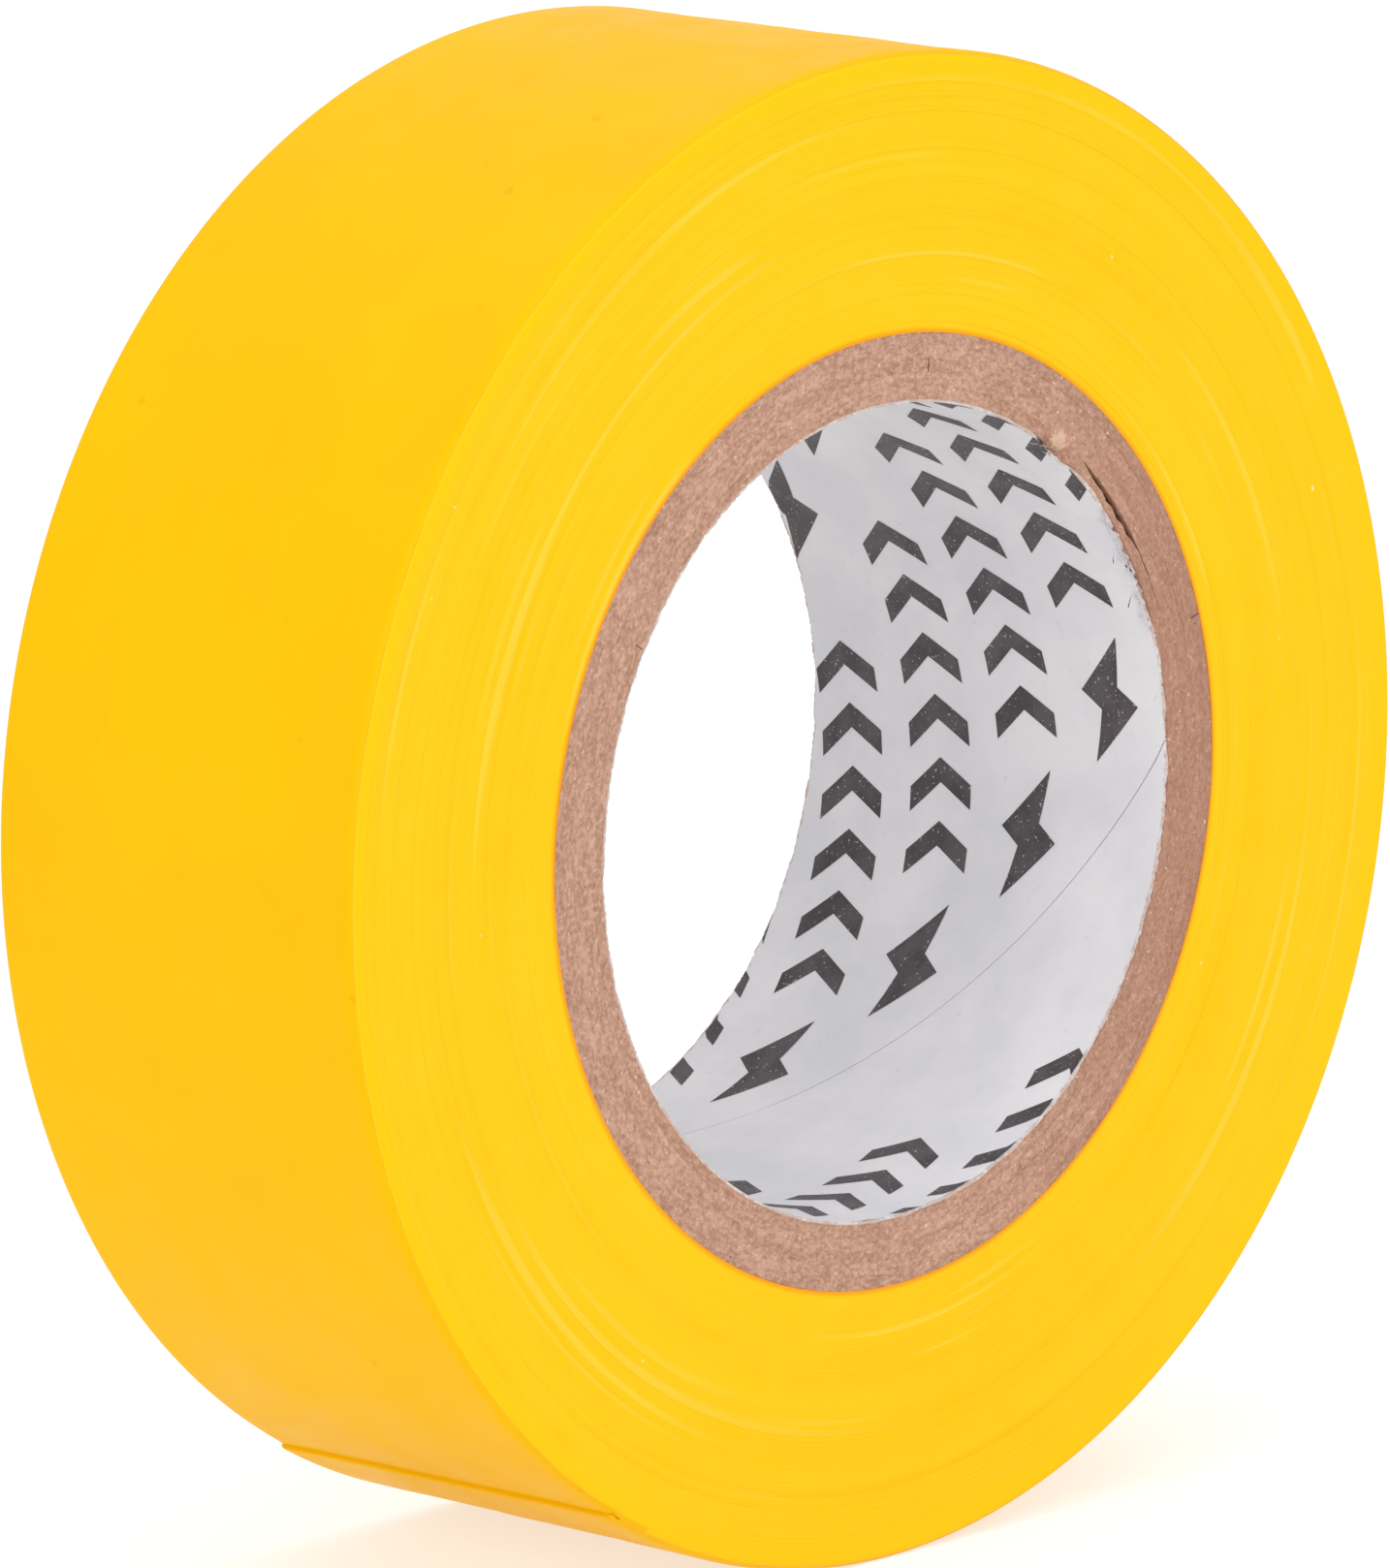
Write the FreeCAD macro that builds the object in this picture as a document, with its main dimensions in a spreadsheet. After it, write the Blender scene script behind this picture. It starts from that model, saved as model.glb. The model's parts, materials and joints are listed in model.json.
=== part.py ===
import FreeCAD, Part
import os

# A roll of electrical tape standing on its rim. The roll's axis lies along Y, +Z is up, and the
# origin is the centre of the bore at mid-width.
#
# Every solid is drawn in the plane of the roll's front side and is as thick as the tape is wide.
# In that plane the angle is counted anticlockwise from the tape's cut end, so angle 0 is the cut
# end, and the tape runs from there under the bottom, up the far side, over the top and back.

doc = FreeCAD.newDocument("electrical_tape_roll")

# Driving dimensions, in millimetres and degrees.
SIZES = {
    "tape_width": 19.0,            # 3/4 in tape
    "roll_radius": 29.55,          # outside of the last turn at its cut end
    "film_thickness": 0.15,        # PVC backing
    "adhesive_thickness": 0.03,    # rubber adhesive under the backing
    "bore_radius": 15.9,           # 1 1/4 in core
    "liner_thickness": 0.12,       # white printed paper inside the core
    "ply_thickness": 0.516,        # one layer of kraft board
    "seam_pitch": 67.5,            # rise of the core's spiral butt seams in one turn
    "liner_seam_gap": 0.10,
    "ply_seam_gap": 0.12,
    "end_angle": 30.7,             # cut end, from the bottom towards -X
    "end_arc": 14.0,               # length of the free end that lifts, as an angle
    "end_lift": 0.03,              # the free end stands this far off the turn below
    "end_slit": 0.03,              # slit where the free end hinges on the rest of the last turn
    "contact_flat": 3.2,           # width of the patch that the roll stands on
}

sheet = doc.addObject("Spreadsheet::Sheet", "sizes")
for row, (alias, value) in enumerate(SIZES.items(), start=1):
    sheet.set(f"A{row}", alias)
    sheet.set(f"B{row}", str(value))
    sheet.setAlias(f"B{row}", alias)
doc.recompute()

TURN = "(sizes.film_thickness + sizes.adhesive_thickness)"
BEHIND_FRONT = "-sizes.tape_width / 2"
# The seams of neighbouring plies are laid this far apart round the core, so that none line up.
SEAM_STEP = 147.0
# Where the liner's seam meets the back side of the roll, anticlockwise from straight down.
LINER_SEAM_START = -9.0

# Stands the drawing plane upright: the drawing's Y becomes +Z, and its Z becomes -Y. The tape
# parts are then turned so that their angle 0 is at the cut end.
CORE_ROTATION = "rotationx(90) * rotationz(-90)"
TAPE_ROTATION = "rotationx(90) * rotationz(-90 - sizes.end_angle)"


def add(kind, name, **expressions):
    """A document object with each named property bound to an expression."""
    item = doc.addObject(kind, name)
    for prop, expression in expressions.items():
        item.setExpression(prop, expression)
    return item


def disc(name, radius, angle=None):
    """A disc, or a sector of one, as thick as the tape is wide and centred on mid-width."""
    item = add("Part::Cylinder", name, Radius=radius, Height="sizes.tape_width")
    item.setExpression("Placement.Base.z", BEHIND_FRONT)
    if angle:
        item.setExpression("Angle", angle)
    return item


def cut(name, base, tool):
    item = doc.addObject("Part::Cut", name)
    item.Base = base
    item.Tool = tool
    return item


def common(name, base, tool):
    item = doc.addObject("Part::Common", name)
    item.Base = base
    item.Tool = tool
    return item


def spiral_disc(name, start_radius):
    """A disc whose rim comes in by one thickness of tape in one turn, as a four-centre spiral.

    Each quarter is an arc tangent to the one before it. Its radius is a quarter of the tape's
    thickness smaller, and its centre has moved by as much.
    """
    centres = [(0, 0), (0, 1), (-1, 1), (-1, 0)]
    quarters = []
    for step, (x, y) in enumerate(centres):
        quarter = disc(f"{name}_quarter_{step + 1}", f"{start_radius} - {step} * {TURN} / 4")
        quarter.Angle = 90
        quarter.setExpression("Placement.Base.x", f"{x} * {TURN} / 4")
        quarter.setExpression("Placement.Base.y", f"{y} * {TURN} / 4")
        quarter.Placement.Rotation = FreeCAD.Rotation(FreeCAD.Vector(0, 0, 1), 90 * step)
        quarters.append(quarter)
    spiral = doc.addObject("Part::MultiFuse", name)
    spiral.Shapes = quarters
    return spiral


def spiral_seam(name, inside, outside, gap, start):
    """The helical slot between the two edges of a paper strip wound into a tube."""
    middle = f"(({inside}) + ({outside})) / 2"
    margin = 0.2

    line = add("Part::Helix", f"{name}_line", Radius=middle, Pitch="sizes.seam_pitch")
    line.setExpression("Height", "sizes.tape_width + 2")

    section = add("Part::Plane", f"{name}_section", Width=gap)
    section.setExpression("Length", f"({outside}) - ({inside}) + {2 * margin}")
    section.setExpression("Placement.Base.x", f"{inside} - {margin}")
    section.Placement.Rotation = FreeCAD.Rotation(FreeCAD.Vector(1, 0, 0), 90)
    lead = f"atan(sizes.seam_pitch / (2 * pi * {middle}))"
    section.setExpression("Placement.Rotation.Angle", f"90 deg + {lead}")

    slot = doc.addObject("Part::Sweep", name)
    slot.Sections = [section]
    slot.Spine = (line, ["Edge1"])
    slot.Solid = True
    slot.Frenet = True
    slot.Placement.Rotation = FreeCAD.Rotation(FreeCAD.Vector(0, 0, 1), start)
    slot.setExpression("Placement.Base.z", f"{BEHIND_FRONT} - 1")
    return slot


def core_tube(name, inside, outside, gap, seam_start):
    """One paper layer of the core: a tube with its spiral butt seam."""
    tube = cut(f"{name}_tube", disc(f"{name}_outside", outside), disc(f"{name}_inside", inside))
    return cut(name, tube, spiral_seam(f"{name}_seam", inside, outside, gap, seam_start))


# Core: the printed liner, then five plies of kraft board.
PLIES = 5
LINER_OUTSIDE = "sizes.bore_radius + sizes.liner_thickness"

parts = {}
parts["core_liner"] = core_tube(
    "core_liner", "sizes.bore_radius", LINER_OUTSIDE, "sizes.liner_seam_gap", LINER_SEAM_START)
for ply in range(PLIES):
    inner = f"{LINER_OUTSIDE} + {ply} * sizes.ply_thickness"
    outer = f"{LINER_OUTSIDE} + {ply + 1} * sizes.ply_thickness"
    seam_start = LINER_SEAM_START + (ply + 1) * SEAM_STEP
    node = f"core_ply_{ply + 1}"
    parts[node] = core_tube(node, inner, outer, "sizes.ply_seam_gap", seam_start)
for item in parts.values():
    item.setExpression("Placement", f"placement(vector(0; 0; 0); {CORE_ROTATION})")

# Tape: the spiral rims of the film, of the adhesive under it, and of the turn below.
film_rim = spiral_disc("film_rim", "sizes.roll_radius")
adhesive_rim = spiral_disc("adhesive_rim", "sizes.roll_radius - sizes.film_thickness")
winding_rim = spiral_disc("winding_rim", f"sizes.roll_radius - {TURN}")
core_hole = disc("core_hole", f"{LINER_OUTSIDE} + {PLIES} * sizes.ply_thickness")

film_strip = cut("film_strip", film_rim, adhesive_rim)
adhesive_strip = cut("adhesive_strip", adhesive_rim, winding_rim)
end_sector = disc("end_sector", "sizes.roll_radius + 1", "sizes.end_arc")
SLIT_ANGLE = "sizes.end_slit / sizes.roll_radius * 180 / pi"
rest_sector = disc("rest_sector", "sizes.roll_radius + 1", f"sizes.end_arc + {SLIT_ANGLE}")

# The patch that the roll stands on: a slab below a chord of the film at the bottom.
ground = add("Part::Box", "ground", Length="2", Width="sizes.contact_flat + 4",
             Height="sizes.tape_width")
CHORD = "sqrt(sizes.roll_radius^2 - sizes.contact_flat^2 / 4)"
ground.setExpression("Placement", f"""placement(
    vector({CHORD} * cos(sizes.end_angle) + (sizes.contact_flat / 2 + 2) * sin(sizes.end_angle);
           {CHORD} * sin(sizes.end_angle) - (sizes.contact_flat / 2 + 2) * cos(sizes.end_angle);
           {BEHIND_FRONT}); rotationz(sizes.end_angle))""".replace("\n", " "))

parts["tape_winding"] = cut("tape_winding", winding_rim, core_hole)
parts["outer_turn_film"] = cut(
    "outer_turn_film", cut("film_without_end", film_strip, rest_sector), ground)
parts["outer_turn_adhesive"] = cut("outer_turn_adhesive", adhesive_strip, rest_sector)
for node in ("tape_winding", "outer_turn_film", "outer_turn_adhesive"):
    parts[node].setExpression("Placement", f"placement(vector(0; 0; 0); {TAPE_ROTATION})")

# The free end is the first stretch of the last turn, moved out along its own middle.
parts["free_end_film"] = common("free_end_film", film_strip, end_sector)
parts["free_end_adhesive"] = common("free_end_adhesive", adhesive_strip, end_sector)
MIDDLE = "(sizes.end_arc / 2 - 90 - sizes.end_angle)"
LIFT = f"vector(sizes.end_lift * cos({MIDDLE}); 0; sizes.end_lift * sin({MIDDLE}))"
for node in ("free_end_film", "free_end_adhesive"):
    parts[node].setExpression("Placement", f"placement({LIFT}; {TAPE_ROTATION})")

doc.recompute()

for item in doc.Objects:
    if "Invalid" in item.State or "Error" in item.State:
        raise RuntimeError(f"{item.Name} did not recompute: {item.State}")

os.makedirs("parts", exist_ok=True)
for node, item in parts.items():
    item.Label = node
    shape = item.Shape
    if shape.isNull() or not shape.isValid() or len(shape.Solids) != 1:
        raise RuntimeError(f"{node} is not one valid solid")
    shape.exportStep(f"parts/{node}.step")
    box = shape.BoundBox
    print(f"{node:20s} {shape.Volume:10.2f} mm3  x {box.XMin:7.3f} {box.XMax:7.3f}"
          f"  y {box.YMin:7.3f} {box.YMax:7.3f}  z {box.ZMin:7.3f} {box.ZMax:7.3f}")
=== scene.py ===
import json
import math

import bmesh
import bpy
import numpy as np
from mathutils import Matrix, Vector


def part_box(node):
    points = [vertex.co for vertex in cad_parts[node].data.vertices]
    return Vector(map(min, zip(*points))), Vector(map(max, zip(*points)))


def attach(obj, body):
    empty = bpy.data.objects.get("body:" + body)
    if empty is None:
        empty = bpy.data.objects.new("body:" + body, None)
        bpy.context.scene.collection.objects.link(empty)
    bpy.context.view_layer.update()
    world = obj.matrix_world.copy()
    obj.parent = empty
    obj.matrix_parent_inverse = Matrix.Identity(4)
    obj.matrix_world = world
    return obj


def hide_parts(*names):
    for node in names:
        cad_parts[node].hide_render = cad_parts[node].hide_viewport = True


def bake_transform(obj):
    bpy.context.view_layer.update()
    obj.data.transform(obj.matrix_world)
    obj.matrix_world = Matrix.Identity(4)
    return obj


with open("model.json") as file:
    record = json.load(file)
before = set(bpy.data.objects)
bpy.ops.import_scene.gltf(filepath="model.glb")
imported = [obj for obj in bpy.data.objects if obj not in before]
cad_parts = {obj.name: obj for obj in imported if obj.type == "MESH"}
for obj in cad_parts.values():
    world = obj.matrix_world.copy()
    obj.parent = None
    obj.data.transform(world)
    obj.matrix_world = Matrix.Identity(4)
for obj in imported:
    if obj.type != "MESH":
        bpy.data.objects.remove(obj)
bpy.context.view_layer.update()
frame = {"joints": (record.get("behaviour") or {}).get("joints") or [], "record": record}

# A roll of electrical tape standing on its rim, with its axis along Y and its front side at -Y.
# Lengths are in millimetres until a mesh is made, and angles are in degrees. An angle round the
# roll is counted from straight down towards +X.
MM = 0.001

# ---------------------------------------------------------------- sizes read from the frame


def node_box(node):
    """The lowest and highest corner of a CAD node, in millimetres."""
    low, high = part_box(node)
    return np.array(low) / MM, np.array(high) / MM


mounts = {mount["name"]: mount for mount in frame["record"]["mounts"]}
BORE = mounts["core_bore"]["dims"]["r_mm"]
WIDTH = mounts["core_bore"]["dims"]["length_mm"]
HALF = WIDTH / 2

FILM = node_box("outer_turn_film")[1][0] - node_box("outer_turn_adhesive")[1][0]
TURN = node_box("outer_turn_film")[1][0] - node_box("tape_winding")[1][0]
FLOOR = node_box("outer_turn_film")[0][2]

hinge = next(joint for joint in frame["joints"] if joint["name"] == "free_end_lift")
hinge_x, _, hinge_z = np.array(hinge["pos_m"]) / MM
LIFT = 0.03                                # the CAD free end stands this far off the turn below
ROLL = math.hypot(hinge_x, hinge_z) - LIFT
HINGE_ANGLE = math.degrees(math.atan2(hinge_x, -hinge_z))
END_ANGLE = -math.degrees(math.asin(-node_box("free_end_film")[0][0] / (ROLL + LIFT)))

PLY_COUNT = 5
LINER = node_box("core_liner")[1][2] - BORE
CORE = node_box("core_ply_5")[1][2]
PLY = (CORE - BORE - LINER) / PLY_COUNT
TURNS = math.ceil((ROLL - TURN - CORE) / TURN)

# The spiral butt seams of the core's paper strips lie as part.py cuts them, but are narrower.
SEAM_PITCH = 67.5
SEAM_STEP = 147.0
LINER_SEAM_START = -9.0
SEAM_GAP = 0.06

# ---------------------------------------------------------------- shape detail

# Tape
EDGE = 0.45                  # rounding of the roll's outer edges
SHARP = math.radians(38)     # edges that bend by more than this are drawn sharp
FREE_ARC = 21.0              # the free-end piece reaches this far round from the cut end
END_SKEW = 1.0               # the cut is this many degrees out of square at each edge
ADHESIVE_START = 0.7         # the adhesive starts this many degrees back from the cut
UNDER_END = 363.0            # the last turn carries on under the free end to here
COVERED = (359.7, 360.5)     # along the tape, the free end comes to lie on it over this stretch
INSET = 0.012                # the film lies this far inside the CAD's film
HOLLOW = 0.02                # and this much more along its middle
WORN = (0.04, 0.35)          # the cut's outer corner is worn down: depth, and angle along the tape

# Core
CORE_FACE = BORE + LINER     # inside of the kraft board
AROUND = 900                 # sections round each layer of the core
END_FIBRE = 0.022            # roughness of the cut ends
END_GROOVE = 0.02            # depth of the faint grooves between plies
CRACK = (120, 139)           # the innermost ply has come away over this stretch
CRACK_WIDTH = 0.20
CRACK_TAIL = (109, 141)      # and the crack fades out over this one
CRACK_TAIL_WIDTH = 0.05
TORN_ANGLE = 144.6           # the liner and the innermost ply are chipped here
FRAYED = (109, 130)          # the liner's front edge is frayed over this stretch

# ---------------------------------------------------------------- small helpers


def smooth(value, low, high):
    """0 below low, 1 above high, and an S-curve between."""
    part = np.clip((value - low) / (high - low), 0, 1)
    return part * part * (3 - 2 * part)


def bump_between(value, low, high, soft):
    """1 between low and high, falling to 0 over a soft margin inside each."""
    return smooth(value, low, low + soft) * (1 - smooth(value, high - soft, high))


def ripple(seed, u, v, scale_u, scale_v, waves=7):
    """Smooth seeded noise over two coordinates, about -1 to 1, from crossing waves."""
    random = np.random.default_rng(seed)
    total = 0
    for _ in range(waves):
        rate_u = random.uniform(-1, 1) / scale_u
        rate_v = random.uniform(-1, 1) / scale_v
        phase = random.uniform(0, 2 * math.pi)
        total = total + np.sin(2 * math.pi * (rate_u * u + rate_v * v) + phase)
    return total / math.sqrt(waves)


def round_ripple(seed, angle, waves, highest):
    """Seeded noise round the roll that meets itself, about -1 to 1."""
    random = np.random.default_rng(seed)
    total = 0
    for _ in range(waves):
        total = total + np.sin(np.radians(random.integers(1, highest + 1) * angle)
                               + random.uniform(0, 2 * math.pi))
    return total / math.sqrt(waves)


def polar(angle, radius, y):
    """Points at an angle from straight down towards +X, in millimetres."""
    angle, radius, y = np.broadcast_arrays(np.radians(angle), radius, y)
    return np.stack([radius * np.sin(angle), y, -radius * np.cos(angle)], axis=-1)


def on_tape(turned, depth, y):
    """Points of the wound tape. turned is the angle along it from its cut end, which may be many
    turns, and depth is counted from the outside of the tape there."""
    return polar(END_ANGLE + turned, ROLL - TURN * turned / 360 - depth, y)


def edge_drop(depth):
    """How far the side lies inside the roll's full width, at a depth below the rim."""
    inside = np.clip(EDGE - depth, 0, EDGE)
    return EDGE - np.sqrt(EDGE ** 2 - inside ** 2)


def add_piece(name, points, faces, material):
    """An object from points in millimetres."""
    mesh = bpy.data.meshes.new(name)
    mesh.from_pydata((np.asarray(points) * MM).tolist(), [], faces)
    mesh.polygons.foreach_set("use_smooth", [True] * len(mesh.polygons))
    mesh.set_sharp_from_angle(angle=SHARP)
    mesh.materials.append(material)
    mesh.update()
    piece = bpy.data.objects.new(name, mesh)
    bpy.context.scene.collection.objects.link(piece)
    return piece


def grid_faces(ids, close_columns=False):
    """Quads over a 2-D array of vertex numbers."""
    if close_columns:
        ids = np.concatenate([ids, ids[:, :1]], axis=1)
    corners = [ids[:-1, :-1], ids[1:, :-1], ids[1:, 1:], ids[:-1, 1:]]
    return np.stack(corners, axis=-1).reshape(-1, 4).tolist()


def cap_faces(loop, mirror):
    """Closes a loop of vertex numbers with a strip of quads between its two halves. Points face
    each other across the strip where their places in the loop add up to mirror."""
    count = len(loop)
    faces = []
    for i in range(mirror // 2, mirror // 2 + count // 2):
        corners = [int(loop[place % count]) for place in (i, i + 1, mirror - i - 1, mirror - i)]
        corners = list(dict.fromkeys(corners))
        if len(corners) > 2:
            faces.append(corners)
    return faces


def swept_piece(name, sections, material, mirror=0):
    """A solid through closed sections, capped at both ends. sections[i, j] is point j of section i."""
    count, around = sections.shape[:2]
    ids = np.arange(count * around).reshape(count, around)
    faces = grid_faces(ids, close_columns=True)
    faces += cap_faces(ids[0], mirror) + [face[::-1] for face in cap_faces(ids[-1], mirror)]
    return add_piece(name, sections.reshape(-1, 3), faces, material)


def face_outwards(piece):
    """Makes the normals of a closed piece point out of it."""
    mesh = bmesh.new()
    mesh.from_mesh(piece.data)
    bmesh.ops.remove_doubles(mesh, verts=mesh.verts, dist=1e-7)
    bmesh.ops.recalc_face_normals(mesh, faces=mesh.faces)
    mesh.to_mesh(piece.data)
    mesh.free()
    piece.data.set_sharp_from_angle(angle=SHARP)


# ---------------------------------------------------------------- materials


class Material:
    """A node material with short calls for the nodes that this scene needs."""

    def __init__(self, name, roughness, specular):
        self.data = bpy.data.materials.new(name)
        self.data.use_nodes = True
        self.tree = self.data.node_tree
        self.shader = self.tree.nodes["Principled BSDF"]
        self.shader.inputs["Roughness"].default_value = roughness
        self.shader.inputs["Specular IOR Level"].default_value = specular
        self.place = self.node("ShaderNodeTexCoord").outputs["Object"]

    def node(self, kind, settings=None, **inputs):
        """A new node. Its inputs are given by name, or by number as i0, i1 and so on."""
        made = self.tree.nodes.new(kind)
        for key, value in (settings or {}).items():
            setattr(made, key, value)
        for key, value in inputs.items():
            numbered = key[0] == "i" and key[1:].isdigit()
            socket = made.inputs[int(key[1:])] if numbered else made.inputs[key]
            self.put(socket, value)
        return made

    def put(self, socket, value):
        """Links a socket to another one, or sets its value."""
        if isinstance(value, bpy.types.NodeSocket):
            self.tree.links.new(value, socket)
        else:
            socket.default_value = value

    def math(self, operation, a, b=0.0):
        return self.node("ShaderNodeMath", {"operation": operation}, i0=a, i1=b).outputs[0]

    def ramp(self, value, low, high, out_low=0.0, out_high=1.0):
        """An S-curve from out_low, where value is low, to out_high, where it is high."""
        made = self.node("ShaderNodeMapRange", {"interpolation_type": "SMOOTHSTEP"}, Value=value)
        for name, number in (("From Min", low), ("From Max", high),
                             ("To Min", out_low), ("To Max", out_high)):
            made.inputs[name].default_value = number
        return made.outputs["Result"]

    def noise(self, vector, scale, detail=2.0, roughness=0.5):
        made = self.node("ShaderNodeTexNoise", Vector=vector, Scale=scale, Detail=detail,
                         Roughness=roughness)
        return made.outputs["Fac"]

    def mix(self, factor, a, b):
        made = self.node("ShaderNodeMix", {"data_type": "RGBA"}, Factor=factor)
        self.put(made.inputs["A"], a)
        self.put(made.inputs["B"], b)
        return made.outputs["Result"]

    def radius(self):
        """Distance of the shaded point from the roll's axis, in millimetres."""
        length = self.node("ShaderNodeVectorMath", {"operation": "LENGTH"}, i0=self.flat())
        return self.math("MULTIPLY", length.outputs["Value"], 1 / MM)

    def flat(self):
        """The shaded point with its place along the roll's axis left out."""
        x, _, z = self.node("ShaderNodeSeparateXYZ", Vector=self.place).outputs
        return self.node("ShaderNodeCombineXYZ", X=x, Z=z).outputs[0]

    def rings(self, length, width, seed=0.0):
        """Noise coordinates for features drawn out round the roll: length and width in millimetres.
        They have no seam."""
        direction = self.node("ShaderNodeVectorMath", {"operation": "NORMALIZE"}, i0=self.flat())
        x, _, z = self.node("ShaderNodeSeparateXYZ", Vector=direction.outputs[0]).outputs
        reach = (CORE + ROLL) / 2 / length
        across = self.math("ADD", self.math("DIVIDE", self.radius(), width), seed)
        return self.node("ShaderNodeCombineXYZ", X=self.math("MULTIPLY", x, reach), Y=across,
                         Z=self.math("MULTIPLY", z, reach)).outputs[0]

    def near(self, point, reach, soft, ragged):
        """1 within reach of a point, falling to 0 over a soft margin, all in millimetres. ragged is
        noise, in metres, that is added to the distance."""
        apart = self.node("ShaderNodeVectorMath", {"operation": "DISTANCE"}, i0=self.place)
        apart.inputs[1].default_value = Vector(point) * MM
        apart = self.math("ADD", apart.outputs["Value"], ragged)
        return self.ramp(apart, reach * MM, (reach + soft) * MM, 1.0, 0.0)

    def finish(self, color, roughness=None, height=None, distance=0.05):
        """Connects the shader. distance is the height's full range, in millimetres."""
        self.put(self.shader.inputs["Base Color"], color)
        if roughness is not None:
            self.put(self.shader.inputs["Roughness"], roughness)
        if height is not None:
            bump = self.node("ShaderNodeBump", Height=height, Distance=distance * MM)
            self.put(self.shader.inputs["Normal"], bump.outputs["Normal"])
        return self.data


def srgb(red, green, blue):
    """A linear colour with alpha from 0-255 display values."""
    def linear(value):
        value = value / 255
        return value / 12.92 if value <= 0.04045 else ((value + 0.055) / 1.055) ** 2.4
    return (linear(red), linear(green), linear(blue), 1.0)


def film_material():
    """Calendered PVC film: an even satin with faint lines along the tape."""
    made = Material("yellow_film", roughness=0.42, specular=0.05)
    cloudy = made.noise(made.place, 90, 3)
    smudge = made.noise(made.place, 320, 4, 0.6)
    stretched = made.node("ShaderNodeVectorMath", {"operation": "MULTIPLY"}, i0=made.place)
    stretched.inputs[1].default_value = (60, 4000, 60)
    lines = made.noise(stretched.outputs[0], 1.0, 2)
    specks = made.ramp(made.noise(made.place, 900, 1), 0.77, 0.83)
    color = made.mix(made.ramp(cloudy, 0.3, 0.7), srgb(234, 177, 0), srgb(237, 181, 0))
    color = made.mix(made.ramp(smudge, 0.58, 0.72, 0.0, 0.35), color, srgb(229, 173, 2))
    color = made.mix(made.math("MULTIPLY", specks, 0.35), color, srgb(198, 142, 12))
    rough = made.ramp(made.noise(made.place, 400, 3), 0.3, 0.7, 0.38, 0.48)
    height = made.math("ADD", lines, made.math("MULTIPLY", cloudy, 0.5))
    return made.finish(color, rough, height, 0.010)


def sides_material():
    """The slit edges of the turns: matte, with broken pale rings and a few pale specks."""
    made = Material("yellow_turn_edges", roughness=0.62, specular=0.10)
    turns = made.noise(made.rings(16, 0.22), 1.0, 2)
    bands = made.noise(made.rings(26, 1.6, 4), 1.0, 2)
    arcs = made.noise(made.rings(22, 0.42, 9), 1.0, 0)
    stretch = made.noise(made.rings(15, 2.4, 17), 1.0, 1)
    pale = made.math("MULTIPLY", made.ramp(arcs, 0.62, 0.76), made.ramp(stretch, 0.46, 0.62))
    cloudy = made.ramp(made.noise(made.place, 420, 3), 0.35, 0.7)
    specks = made.ramp(made.noise(made.place, 1700, 1), 0.785, 0.83)
    color = made.mix(made.ramp(bands, 0.3, 0.7), srgb(240, 186, 0), srgb(243, 190, 8))
    color = made.mix(made.ramp(turns, 0.35, 0.65, 0.0, 0.30), color, srgb(245, 193, 20))
    color = made.mix(made.math("MULTIPLY", cloudy, 0.25), color, srgb(245, 194, 30))
    color = made.mix(made.math("MULTIPLY", pale, 0.45), color, srgb(246, 204, 74))
    color = made.mix(made.math("MULTIPLY", specks, 0.6), color, srgb(250, 230, 180))
    near_rim = made.ramp(made.radius(), ROLL - 1.5, ROLL - 0.6)
    color = made.mix(made.math("MULTIPLY", near_rim, 0.85), color, srgb(243, 191, 0))
    near_core = made.ramp(made.radius(), CORE + 0.02, CORE + 0.28, 1.0, 0.0)
    color = made.mix(made.math("MULTIPLY", near_core, 0.7), color, srgb(226, 134, 16))
    height = made.math("ADD", turns, made.math("MULTIPLY", made.noise(made.place, 2500, 2), 0.6))
    return made.finish(color, 0.62, height, 0.012)


def adhesive_material():
    """Amber rubber adhesive."""
    made = Material("amber_adhesive", roughness=0.45, specular=0.3)
    color = made.mix(made.ramp(made.noise(made.place, 700, 3), 0.35, 0.65),
                     srgb(232, 165, 6), srgb(238, 176, 14))
    return made.finish(color, None, made.noise(made.place, 1800, 2), 0.01)


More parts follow.
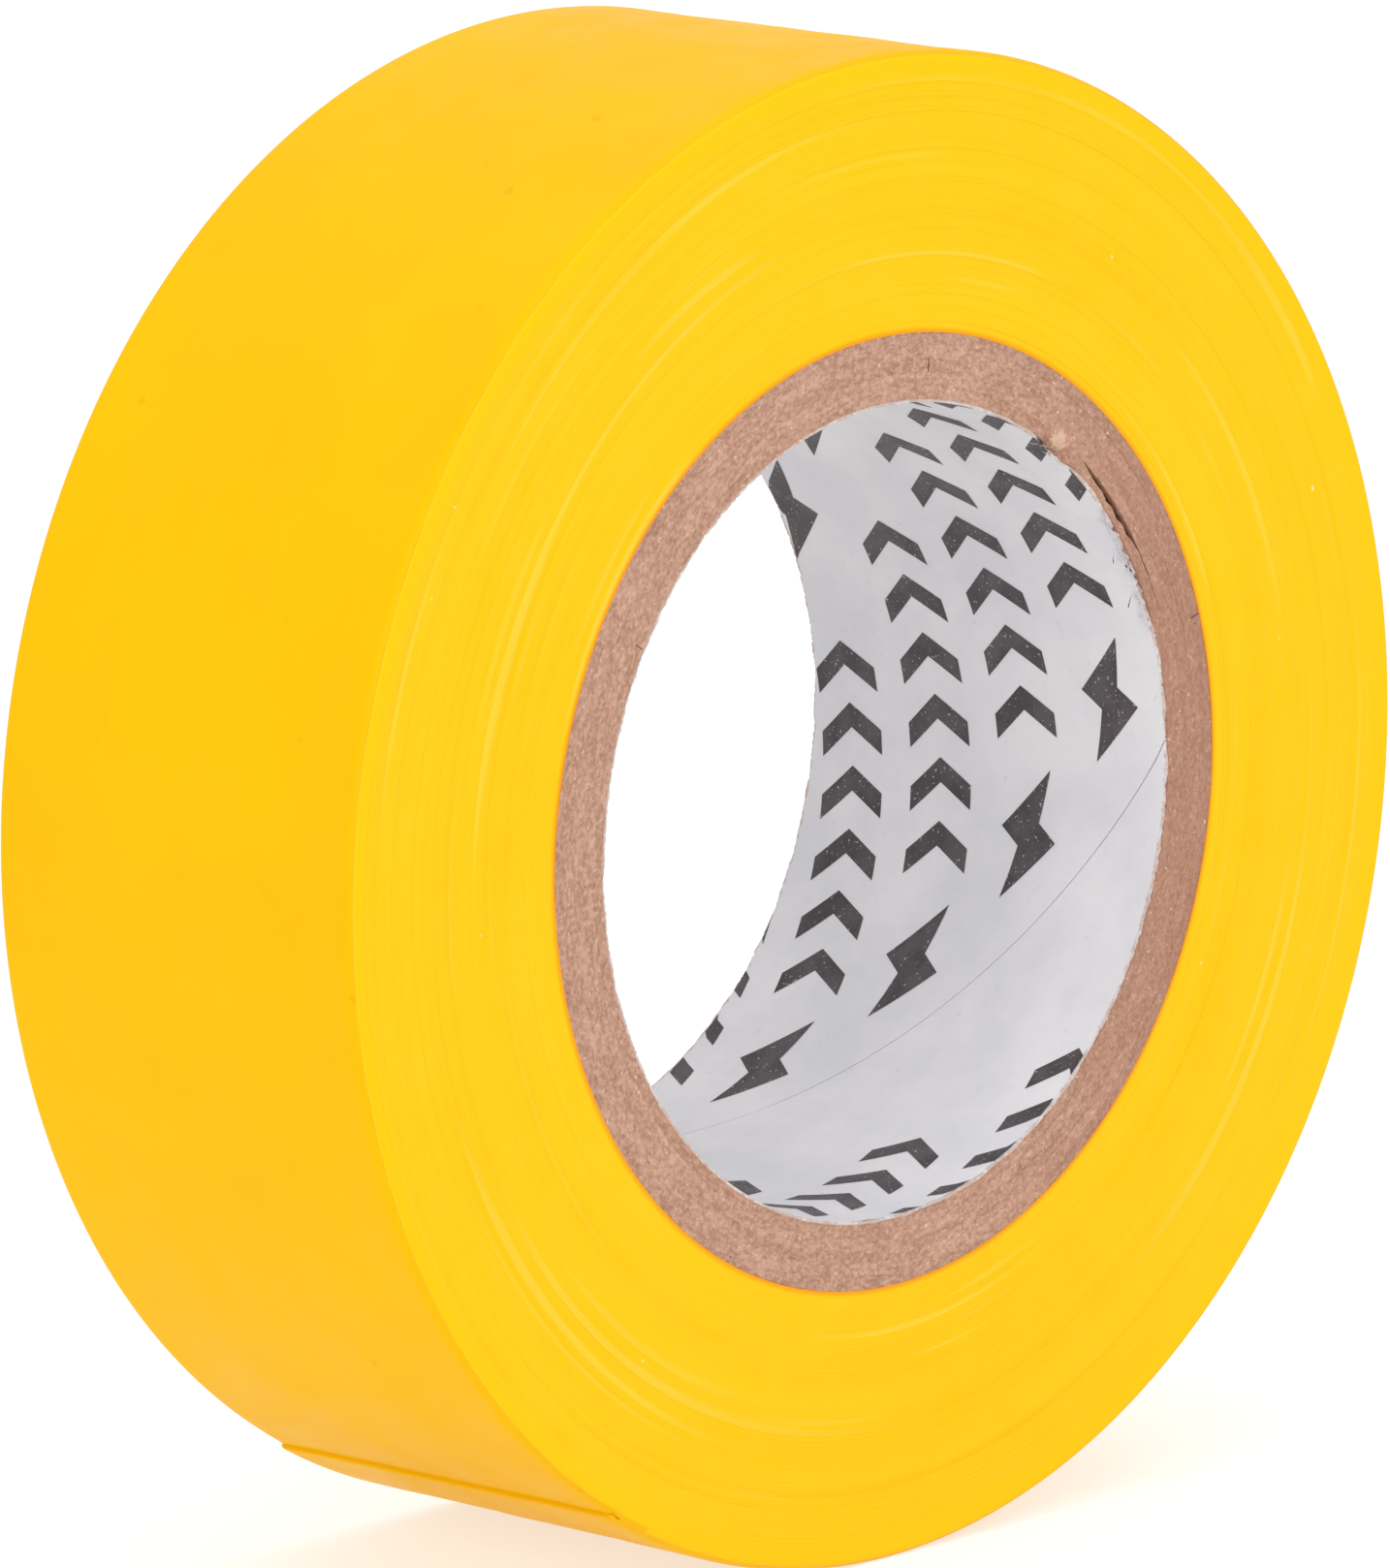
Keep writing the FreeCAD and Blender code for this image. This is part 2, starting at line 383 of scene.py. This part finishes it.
def kraft_material(tone):
    """Cut kraft board: short pale and dark fibres in a pinkish brown, with painted shade inside the
    cracks.
    """
    made = Material(f"kraft_board_{tone}", roughness=0.9, specular=0.15)
    broad = made.noise(made.rings(3.0, 0.8, tone), 1.0, 3)
    layers = made.noise(made.rings(2.4, 0.13, 50), 1.0, 2)
    fibres = made.noise(made.rings(0.42, 0.17), 1.0, 4, 0.7)
    grain = made.noise(made.place, 5200, 4, 0.7)
    flecks = made.noise(made.rings(0.30, 0.16, 31), 1.0, 1)
    pits = made.noise(made.place, 3600, 2, 0.6)
    shade = 1.012 if tone % 2 else 0.988          # neighbouring plies differ a little
    low = srgb(163 * shade, 122 * shade, 101 * shade)
    high = srgb(200 * shade, 160 * shade, 139 * shade)
    weave = made.math("ADD", made.math("MULTIPLY", fibres, 0.55), made.math("MULTIPLY", grain, 0.45))
    weave = made.math("ADD", weave, made.math("MULTIPLY", made.math("SUBTRACT", broad, 0.5), 0.22))
    color = made.mix(made.ramp(weave, 0.36, 0.64), low, high)
    color = made.mix(made.ramp(layers, 0.22, 0.36, 0.5, 0.0), color, srgb(134, 92, 70))
    x, _, _ = made.node("ShaderNodeSeparateXYZ", Vector=made.place).outputs
    one_side = made.ramp(x, 0.2 * CORE * MM, CORE * MM, 0.0, 0.45)
    color = made.mix(one_side, color, srgb(152, 106, 84))
    color = made.mix(made.ramp(grain, 0.62, 0.74, 0.0, 0.75), color, srgb(232, 210, 194))
    color = made.mix(made.ramp(pits, 0.22, 0.32, 0.75, 0.0), color, srgb(120, 82, 68))
    color = made.mix(made.ramp(flecks, 0.74, 0.80, 0.0, 0.7), color, srgb(238, 220, 206))
    ragged = made.math("MULTIPLY", made.noise(made.place, 1500, 4, 0.7), 1.6 * MM)
    frayed = made.near(polar(TORN_ANGLE, CORE_FACE + 0.45, -HALF), 1.10, 0.22, ragged)
    color = made.mix(made.math("MULTIPLY", frayed, 0.6), color, srgb(228, 194, 168))
    # Painted shade: on plies 2 to 5, the walls more than 0.1 mm in from either end, seen only down the
    # cracks, are painted dark brown.
    if tone > 0:
        _, depth, _ = made.node("ShaderNodeSeparateXYZ", Vector=made.place).outputs
        depth = made.math("MULTIPLY", made.math("ABSOLUTE", depth), 1 / MM)
        inside = made.ramp(depth, HALF - 0.45, HALF - 0.10, 0.9, 0.0)
        color = made.mix(inside, color, srgb(74, 44, 34))
    return made.finish(color, None, weave, 0.10)


def paper_material():
    """White machine-finished paper with faint mottling, brown with fibres at its cut edges."""
    made = Material("liner_paper", roughness=0.55, specular=0.3)
    mottle = made.noise(made.place, 180, 4, 0.6)
    fine = made.noise(made.place, 2400, 3, 0.6)
    color = made.mix(made.ramp(mottle, 0.3, 0.7), srgb(209, 208, 212), srgb(222, 220, 222))
    color = made.mix(made.ramp(fine, 0.62, 0.78, 0.0, 0.5), color, srgb(196, 193, 198))
    depth = made.node("ShaderNodeSeparateXYZ", Vector=made.place).outputs["Y"]
    depth = made.math("MULTIPLY", made.math("ABSOLUTE", depth), 1 / MM)
    ragged = made.math("ADD", depth, made.math("MULTIPLY", made.noise(made.place, 2600, 3, 0.7), 0.5))
    edge = made.ramp(ragged, HALF + 0.06, HALF + 0.26, 0.0, 0.9)
    color = made.mix(edge, color, srgb(186, 158, 142))
    return made.finish(color, None, made.math("ADD", mottle, made.math("MULTIPLY", fine, 0.4)), 0.04)


def ink_material():
    """Dark grey ink that has missed many pinholes of the paper."""
    made = Material("print_ink", roughness=0.5, specular=0.35)
    holes = made.ramp(made.noise(made.place, 7000, 2, 0.6), 0.64, 0.72)
    cloudy = made.ramp(made.noise(made.place, 900, 3), 0.3, 0.7)
    color = made.mix(cloudy, srgb(60, 53, 56), srgb(80, 73, 75))
    color = made.mix(made.math("MULTIPLY", holes, 0.85), color, srgb(186, 182, 186))
    return made.finish(color)


film = film_material()
sides = sides_material()
adhesive = adhesive_material()
kraft = [kraft_material(number) for number in range(PLY_COUNT)]
paper = paper_material()
ink = ink_material()

# ---------------------------------------------------------------- tape


def film_section(turned, outer, inner, rows=40):
    """One closed section across the tape, between two depths below its outside. turned may be a
    function of y."""
    def corner(side):
        """Depths and places of the rounded edge on one side. Where the tape runs on under its own
        cut end, the roll's rounding carries on through it."""
        at_side = turned(side * HALF) if callable(turned) else turned
        covered = TURN * smooth(at_side - END_SKEW * side, *COVERED)
        ends = np.arcsin(np.clip(1 - (np.array([inner, outer]) + covered) / EDGE, 0, 1))
        bend = np.linspace(*ends, 6)
        return EDGE * (1 - np.sin(bend)) - covered, side * (HALF - EDGE + EDGE * np.cos(bend))

    front_depth, front_y = corner(-1)
    back_depth, back_y = corner(1)
    across = np.linspace(front_y[-1], back_y[-1], rows + 2)[1:-1]
    top = np.concatenate([front_y, across, back_y[::-1]])
    y = np.concatenate([top, top[-2:0:-1]])
    depth = np.concatenate([front_depth, np.full(rows, outer), back_depth[::-1],
                            np.full(len(top) - 2, inner)])
    turned = turned(y) if callable(turned) else turned
    middle = 1 - smooth(np.abs(y), HALF - 2.5, HALF - 0.4)
    bands = 0.010 * ripple(3, y, turned / 40, 6, 8) + 0.008 * ripple(5, y, turned / 40, 2.2, 20)
    bands *= bump_between(turned, 2, 356, 8)
    depth = depth + INSET + middle * (HOLLOW + bands)
    points = on_tape(turned, depth, y)
    points[..., 2] = np.maximum(points[..., 2], FLOOR)
    return points


def last_turn(name, outer, inner, material):
    """The last turn, from where the free-end piece leaves off to where the turn before it ends."""
    steps = np.linspace(FREE_ARC, UNDER_END, 340)
    sections = np.array([film_section(turned, outer, inner) for turned in steps])
    piece = swept_piece(name, sections, material)
    face_outwards(piece)
    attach(piece, "roll")
    return piece


def free_end(name, outer, inner, material, start=0.0):
    """The free-end piece: the tape from its cut end out to FREE_ARC round from it. The film is pressed
    down over the adhesive, which starts a little way back from the cut."""
    sections = []
    for part in np.linspace(0, 1, 60) ** 1.6:
        def turned(y, part=part):
            tip = start + END_SKEW * y / HALF + 0.05 * ripple(11, y, 0, 3, 3)
            return tip * (1 - part) + FREE_ARC * part
        pressed = 1 - smooth(FREE_ARC * part, 0.0, ADHESIVE_START)
        worn = WORN[0] * (1 - smooth(FREE_ARC * part, 0, WORN[1]))
        under = inner + (TURN - FILM) * pressed * (start == 0)
        sections.append(film_section(turned, outer + worn, under))
    piece = swept_piece(name, np.array(sections), material)
    face_outwards(piece)
    root = polar(HINGE_ANGLE + 2.5, ROLL, 0) * MM
    clear = polar(HINGE_ANGLE - 4.0, ROLL, 0) * MM
    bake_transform(piece)
    return piece


def turn_offset(turned):
    """How far the edge of the tape lies inside the roll's side, along its whole length."""
    lap = turned / 360
    slow = 0.010 * (1 + ripple(21, lap, 0, 3.0, 1))
    wander = 0.006 * (1 + ripple(22, lap, 0, 0.4, 1))
    random = np.random.default_rng(23)
    stray = np.zeros_like(lap)
    settled = smooth(lap, 1, 4)
    for _ in range(26):
        start = random.uniform(1, TURNS)
        length = random.uniform(0.08, 0.45)
        size = random.uniform(0.008, 0.028)
        stray += size * bump_between(lap, start, start + length, 0.06)
    return 0.004 + settled * np.maximum(slow + wander + stray, 0)


def winding():
    """All the inner turns as one solid, whose two sides are one spiral strip of tape edges.

    Each turn has four rows of points: the groove that the adhesive leaves, and the slightly
    rounded edge of the film. The last row of a turn is the first row of the next.
    """
    per_turn = 240
    parts = np.array([0.0, 0.14, 0.45, 0.80])
    groove = np.array([0.010, 0.003, 0.0, 0.002])
    columns = len(parts)
    steps = per_turn * TURNS + 1
    turned = UNDER_END + np.arange(steps + per_turn) * 360 / per_turn
    turned, part = np.meshgrid(turned, parts, indexing="ij")
    radius = np.maximum(ROLL - TURN * (turned / 360 + part), CORE)
    rim_depth = TURN * (np.floor(turned / 360 + 1e-9) + part)
    inside = turn_offset(turned) + groove + edge_drop(rim_depth)
    inside = np.where(radius <= CORE, 0.0, inside)

    ids = np.full((steps, columns + 1), -1)
    ids[:, :columns] = np.arange(steps * columns).reshape(steps, columns)
    used = turned[:steps], radius[:steps], inside[:steps]
    ids[:steps - per_turn, columns] = ids[per_turn:, 0]
    # The innermost turn has no next turn to share with, so it gets an edge row of its own.
    inner_row = steps * columns + np.arange(per_turn)
    ids[steps - per_turn:, columns] = inner_row
    inner_turned = turned[steps - per_turn:steps, 0]
    all_turned = np.concatenate([used[0].ravel(), inner_turned])
    all_radius = np.concatenate([used[1].ravel(), np.full(per_turn, CORE)])
    all_inside = np.concatenate([used[2].ravel(), np.zeros(per_turn)])
    count = len(all_turned)
    front = polar(END_ANGLE + all_turned, all_radius, -HALF + all_inside)
    back = polar(END_ANGLE + all_turned, all_radius, HALF - all_inside)

    faces = grid_faces(ids)
    rim = list(ids[:per_turn + 1, 0]) + list(ids[0, columns - 1:0:-1])
    bore = list(inner_row) + list(ids[-1, ::-1][1:])
    walls = []
    for loop in (rim, bore):
        for here, there in zip(loop, loop[1:] + loop[:1]):
            walls.append([int(here), int(there), int(there) + count, int(here) + count])
    mirrored = [[corner + count for corner in reversed(face)] for face in faces]
    piece = add_piece("wound_turns", np.concatenate([front, back]), faces + mirrored + walls, sides)
    face_outwards(piece)
    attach(piece, "roll")
    return piece


film_turn = last_turn("last_turn_film", 0, FILM, film)
adhesive_turn = last_turn("last_turn_adhesive", FILM, TURN, adhesive)
film_end = free_end("lifting_end_film", 0, FILM, film)
adhesive_end = free_end("lifting_end_adhesive", FILM, TURN, adhesive, ADHESIVE_START)
wound_turns = winding()

for piece, node, slot in ((film_turn, "outer_turn_film", "tape_film"),
                          (adhesive_turn, "outer_turn_adhesive", "tape_adhesive"),
                          (film_end, "free_end_film", "tape_film"),
                          (adhesive_end, "free_end_adhesive", "tape_adhesive"),
                          (wound_turns, "tape_winding", "tape_sides")):
    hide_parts(node)

# ---------------------------------------------------------------- core


def seam_angle(y, number):
    """Angle of a layer's butt seam across the width. Layer 0 is the liner."""
    return LINER_SEAM_START + number * SEAM_STEP + (HALF - y) * 360 / SEAM_PITCH


def crack(angle, y):
    """How far the innermost ply's outer face has come away from the next ply at the front."""
    angle = angle % 360
    width = (CRACK_WIDTH * bump_between(angle, *CRACK, 7)
             + CRACK_TAIL_WIDTH * bump_between(angle, *CRACK_TAIL, 6))
    wander = 1 + 0.30 * round_ripple(71, angle, 10, 120)
    return width * wander * (1 - smooth(y, -HALF + 0.8, -HALF + 4.0))


def fibre_ends(angle, radius):
    """Roughness of the core's cut ends, 0 to about 2. Neighbouring plies share it."""
    columns, rows = 1100, 40
    table = np.abs(np.random.default_rng(141).normal(0, 1, (columns, rows)))
    u = (angle / 360 * columns) % columns
    v = np.clip((radius - BORE) / (CORE - BORE), 0, 1) * (rows - 1.001)
    left, low = np.floor(u).astype(int) % columns, np.floor(v).astype(int)
    right, high = (left + 1) % columns, low + 1
    u, v = u % 1, v % 1
    return (table[left, low] * (1 - u) * (1 - v) + table[right, low] * u * (1 - v)
            + table[left, high] * (1 - u) * v + table[right, high] * u * v)


def layer(name, number, inner, outer, gap, material, rows):
    """One ply of the core: a tube with a spiral butt seam and fibrous cut ends."""
    width_rows = 14
    radial = np.linspace(inner, outer, rows)
    along = np.linspace(HALF, -HALF, width_rows)[1:-1]
    # Round the section: front end outwards, outside backwards, back end inwards, inside forwards.
    radius = np.concatenate([radial, np.full(len(along), outer), radial[::-1],
                             np.full(len(along), inner)])
    y = np.concatenate([np.full(rows, -HALF), along[::-1], np.full(rows, HALF), along])
    on_end = np.abs(y) > HALF - 1e-6
    slit = math.degrees(gap / inner)
    part = np.linspace(0, 1, AROUND)[:, None]
    angle = seam_angle(y, number) + slit / 2 + part * (360 - slit)
    radius = np.broadcast_to(radius, angle.shape).copy()
    at_inner = (outer - radius) / (outer - inner)
    sag = END_FIBRE * fibre_ends(angle, radius + 0.4 * np.sign(y))
    # A faint groove at the ply's outer face, deeper in some places than in others.
    grooved = (at_inner < 0.01) * smooth(round_ripple(150 + number, angle, 6, 12), 0, 1.2)
    sag += END_GROOVE * grooved
    if number == 1:
        chip = bump_between(angle % 360, TORN_ANGLE - 5, TORN_ANGLE + 4, 3) * (y < 0)
        sag += chip * at_inner * (0.28 + 0.12 * fibre_ends(angle * 2, radius))
    y = y - np.sign(y) * on_end * sag
    if number == 1:
        radius -= (1 - at_inner) * crack(angle, y)
    piece = swept_piece(name, polar(angle, radius, y), material, mirror=rows - 1)
    face_outwards(piece)
    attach(piece, "roll")
    return piece


for number in range(1, PLY_COUNT + 1):
    inner = BORE + LINER + (number - 1) * PLY
    board = layer(f"board_ply_{number}", number, inner, inner + PLY, SEAM_GAP,
                  kraft[number - 1], rows=7)
    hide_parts(f"core_ply_{number}")


def liner_radius(angle, y):
    """The printed side of the liner, with faint hollows where the paper isn't stuck flat."""
    lift = 0.5 + 0.5 * ripple(61, angle / 25, y / 6, 1.0, 1.0)
    return BORE - 0.012 * lift


def liner():
    """The printed paper: a thin strip whose edges are torn here and there."""
    rows = 40
    along = np.linspace(-HALF, HALF, rows)
    slit = math.degrees(SEAM_GAP / BORE)
    part = np.linspace(0, 1, AROUND)[:, None]
    y = np.concatenate([along, along[::-1]])
    inside = np.concatenate([np.ones(rows), np.zeros(rows)])
    angle = seam_angle(y, 0) + slit / 2 + part * (360 - slit)
    random = np.random.default_rng(62)
    torn = np.abs(random.normal(0, 1, AROUND))[:, None]
    torn = 0.03 * torn + 0.05 * np.abs(round_ripple(63, angle, 12, 60))
    chip = bump_between(angle % 360, TORN_ANGLE - 6, TORN_ANGLE + 5, 4)
    frayed = bump_between(angle % 360, *FRAYED, 5) * (1 + 0.7 * round_ripple(64, angle, 12, 260))
    chipped = 0.5 * chip * (1 + 0.3 * round_ripple(65, angle, 12, 200))
    torn = torn + (y < 0) * (chipped + 0.16 * frayed)
    reach = smooth(np.abs(y), HALF - 1.5, HALF)
    y_all = y - np.sign(y) * reach * np.maximum(torn, 0)
    radius = np.where(inside > 0, liner_radius(angle, y_all), BORE + LINER)
    piece = swept_piece("printed_liner", polar(angle, radius, y_all), paper, mirror=-1)
    face_outwards(piece)
    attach(piece, "roll")
    return piece


printed_liner = liner()
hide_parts("core_liner")


def tube(path, radius, sides=4):
    """Rings of points round a five-point path, thinner towards its end."""
    along = np.gradient(path, axis=0)
    along /= np.linalg.norm(along, axis=1)[:, None]
    outward = path * (1, 0, 1)
    across = np.cross(along, outward)
    across /= np.linalg.norm(across, axis=1)[:, None]
    up = np.cross(across, along)
    turn = np.linspace(0, 2 * math.pi, sides, endpoint=False)[None, :, None]
    thickness = radius * np.array([1.0, 1.0, 0.9, 0.7, 0.3])[:, None, None]
    return path[:, None] + thickness * (np.cos(turn) * across[:, None] + np.sin(turn) * up[:, None])


FIBRES_AT_FRAY = 135
FIBRES_AT_CHIP = 15


def torn_fibres():
    """Short paper fibres that stand out of the liner's frayed front edge."""
    random = np.random.default_rng(81)
    points, faces = [], []
    for number in range(FIBRES_AT_FRAY + FIBRES_AT_CHIP):
        spread = FRAYED if number < FIBRES_AT_FRAY else (TORN_ANGLE - 4, TORN_ANGLE + 3)
        start = random.uniform(*spread)
        heading = random.normal(math.pi / 2, 0.9) * random.choice((-1, 1))
        length, curl, rise = random.uniform(0.2, 0.65), random.normal(0, 0.2), random.uniform(0, 0.10)
        part = np.linspace(0, 1, 5)
        arc = length * math.cos(heading) * part + curl * part ** 2
        y = -HALF + random.uniform(0.10, 0.40) + 0.6 * length * math.sin(heading) * part
        y = np.maximum(y, -HALF + 0.02)
        radius = BORE - 0.02 - rise * np.sin(math.pi * part * 0.7)
        rings = tube(polar(start + np.degrees(arc / BORE), radius, y), random.uniform(0.009, 0.018))
        ids = len(points) + np.arange(rings.shape[0] * rings.shape[1]).reshape(rings.shape[:2])
        points += rings.reshape(-1, 3).tolist()
        faces += grid_faces(ids, close_columns=True) + [ids[0].tolist(), ids[-1][::-1].tolist()]
    piece = add_piece("torn_liner_fibres", points, faces, paper)
    face_outwards(piece)
    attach(piece, "roll")


torn_fibres()

# ---------------------------------------------------------------- print on the liner

# The print repeats on a slanted lattice: one bolt and six chevrons, laid along the strip.
# An arc is counted along the bore's wall from straight down.
FIRST_MARK = (9.0, 5.25)               # (arc, y) of one bolt's middle
NEXT_ROW = (6.0, -3.95)
REPEAT = 24.8
ROW_SLOPE = 0.14
BARE_MARGIN = 7.0                      # the strip carries no marks along one of its edges
BOLT_SIZE = (5.1, 3.0)
CHEVRON_SIZE = (2.15, 3.2)
CHEVRON_START = 4.9
CHEVRON_PITCH = 2.55
CHEVRONS = 6
CHEVRON_STROKE = 1.0
PRINT_HEIGHT = 0.012
PRINT_MARGIN = 0.12                    # the print stops this far inside the strip's edges


def quad_patch(corners, across=4, along=8):
    """A grid of points over a four-cornered patch."""
    a, b, c, d = [np.array(corner, float) for corner in corners]
    u, v = np.meshgrid(np.linspace(0, 1, along), np.linspace(0, 1, across), indexing="ij")
    u, v = u[..., None], v[..., None]
    return a * (1 - u) * (1 - v) + b * u * (1 - v) + c * u * v + d * (1 - u) * v


def bolt_patches():
    """A lightning bolt lying along the row, as two tapering blades."""
    long, high = BOLT_SIZE[0] / 2, BOLT_SIZE[1] / 2
    first = [(-long, high * 0.75), (-long * 0.15, -high * 0.95), (long * 0.28, -high * 0.15),
             (long * 0.28, high * 0.12)]
    second = [(long, -high * 0.75), (long * 0.15, high * 0.95), (-long * 0.28, high * 0.15),
              (-long * 0.28, -high * 0.12)]
    return [quad_patch(first), quad_patch(second)]


def chevron_patches(middle):
    """One chevron, as two slanting bars."""
    wide, high = CHEVRON_SIZE[0], CHEVRON_SIZE[1] / 2
    left = middle - wide / 2
    nose = middle + wide / 2 - CHEVRON_STROKE
    upper = [(left, high), (left + CHEVRON_STROKE, high), (nose + CHEVRON_STROKE, 0), (nose, 0)]
    lower = [(nose, 0), (nose + CHEVRON_STROKE, 0), (left + CHEVRON_STROKE, -high), (left, -high)]
    return [quad_patch(upper), quad_patch(lower)]


def strip_edges(y):
    """Arcs at which the liner's strip begins and ends, at a place across the width."""
    start = np.radians(seam_angle(y, 0)) * BORE
    return start, start + 2 * math.pi * BORE


def on_liner(flat):
    """Points of a printed patch, cut off at the strip's edges, or None if all of it is off the
    printed part. flat holds (arc, y)."""
    arc, y = flat[..., 0], flat[..., 1]
    if arc.mean() > strip_edges(y.mean())[1] - BARE_MARGIN:
        return None
    side = HALF - PRINT_MARGIN
    start, end = strip_edges(y)
    outside = (np.abs(y) > side) | (arc < start + PRINT_MARGIN) | (arc > end - PRINT_MARGIN)
    if outside.all():
        return None
    y = np.clip(y, -side, side)
    start, end = strip_edges(y)
    angle = np.degrees(np.clip(arc, start + PRINT_MARGIN, end - PRINT_MARGIN) / BORE)
    return polar(angle, liner_radius(angle, y) - PRINT_HEIGHT, y)


def print_marks():
    """The printed pattern, as thin patches just inside the paper."""
    marks = bolt_patches()
    for number in range(CHEVRONS):
        marks += chevron_patches(CHEVRON_START + number * CHEVRON_PITCH)
    lean = math.atan(ROW_SLOPE)
    along_row = np.array([math.cos(lean), math.sin(lean)])
    turn = np.array([along_row, [-along_row[1], along_row[0]]])

    points, faces = [], []
    for row in range(-30, 30):
        for column in range(-6, 12):
            corner = np.array(FIRST_MARK) + row * np.array(NEXT_ROW) + column * REPEAT * along_row
            if abs(corner[1]) > HALF + 6:
                continue
            for mark in marks:
                place = on_liner(mark @ turn + corner)
                if place is None:
                    continue
                ids = len(points) + np.arange(place[..., 0].size).reshape(place.shape[:-1])
                points += place.reshape(-1, 3).tolist()
                faces += grid_faces(ids)
    piece = add_piece("liner_print", points, faces, ink)
    mesh = bmesh.new()
    mesh.from_mesh(piece.data)
    bmesh.ops.dissolve_degenerate(mesh, dist=1e-6, edges=mesh.edges)
    mesh.to_mesh(piece.data)
    mesh.free()
    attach(piece, "roll")


print_marks()

# ---------------------------------------------------------------- floor, light and camera


def add_floor():
    """A plain white floor under the roll."""
    reach = 3000
    corners = [(x * reach, y * reach, FLOOR) for x, y in ((-1, -1), (1, -1), (1, 1), (-1, 1))]
    white = bpy.data.materials.new("floor_white")
    white.use_nodes = True
    shader = white.node_tree.nodes["Principled BSDF"]
    shader.inputs["Base Color"].default_value = (0.5, 0.5, 0.5, 1)
    shader.inputs["Roughness"].default_value = 1.0
    shader.inputs["Specular IOR Level"].default_value = 0.0
    shader.inputs["Emission Color"].default_value = (1, 1, 1, 1)
    shader.inputs["Emission Strength"].default_value = 0.57
    add_piece("floor", corners, [[0, 1, 2, 3]], white)


def add_lamp(name, place, size, power):
    """A square soft box that faces the roll. place is in millimetres."""
    lamp = bpy.data.lights.new(name, "AREA")
    lamp.shape = "SQUARE"
    lamp.size = size * MM
    lamp.energy = power
    holder = bpy.data.objects.new(name, lamp)
    bpy.context.scene.collection.objects.link(holder)
    holder.location = Vector(place) * MM
    holder.rotation_euler = (-holder.location).to_track_quat("-Z", "Y").to_euler()


def add_camera(azimuth, elevation, distance, lens, aside):
    """Looks at the bore's centre from an azimuth, where 0 looks along +Y. aside moves the aim right
    and up, in millimetres."""
    a, e = math.radians(azimuth), math.radians(elevation)
    back = Vector((math.sin(a) * math.cos(e), -math.cos(a) * math.cos(e), math.sin(e)))
    right = Vector((math.cos(a), math.sin(a), 0))
    target = right * aside[0] + back.cross(right) * aside[1]
    camera = bpy.data.cameras.new("camera")
    camera.lens = lens
    camera.sensor_width = 36
    camera.clip_start, camera.clip_end = 0.01, 20
    holder = bpy.data.objects.new("camera", camera)
    bpy.context.scene.collection.objects.link(holder)
    holder.location = (target + back * distance) * MM
    holder.rotation_euler = (-back).to_track_quat("-Z", "Y").to_euler()
    bpy.context.scene.camera = holder


add_floor()
add_lamp("key", (-620, -240, 260), 420, 1.15)
add_lamp("front", (100, -520, 420), 500, 0.75)
add_lamp("overhead", (0, 0, 900), 1200, 3.4)

world = bpy.data.worlds.new("studio")
world.use_nodes = True
world.node_tree.nodes["Background"].inputs["Color"].default_value = (1, 1, 1, 1)
world.node_tree.nodes["Background"].inputs["Strength"].default_value = 0.85
bpy.context.scene.world = world
bpy.context.scene.view_settings.view_transform = "Standard"

add_camera(azimuth=-46.44, elevation=10.85, distance=519.5, lens=306.5, aside=(-0.69, -0.10))
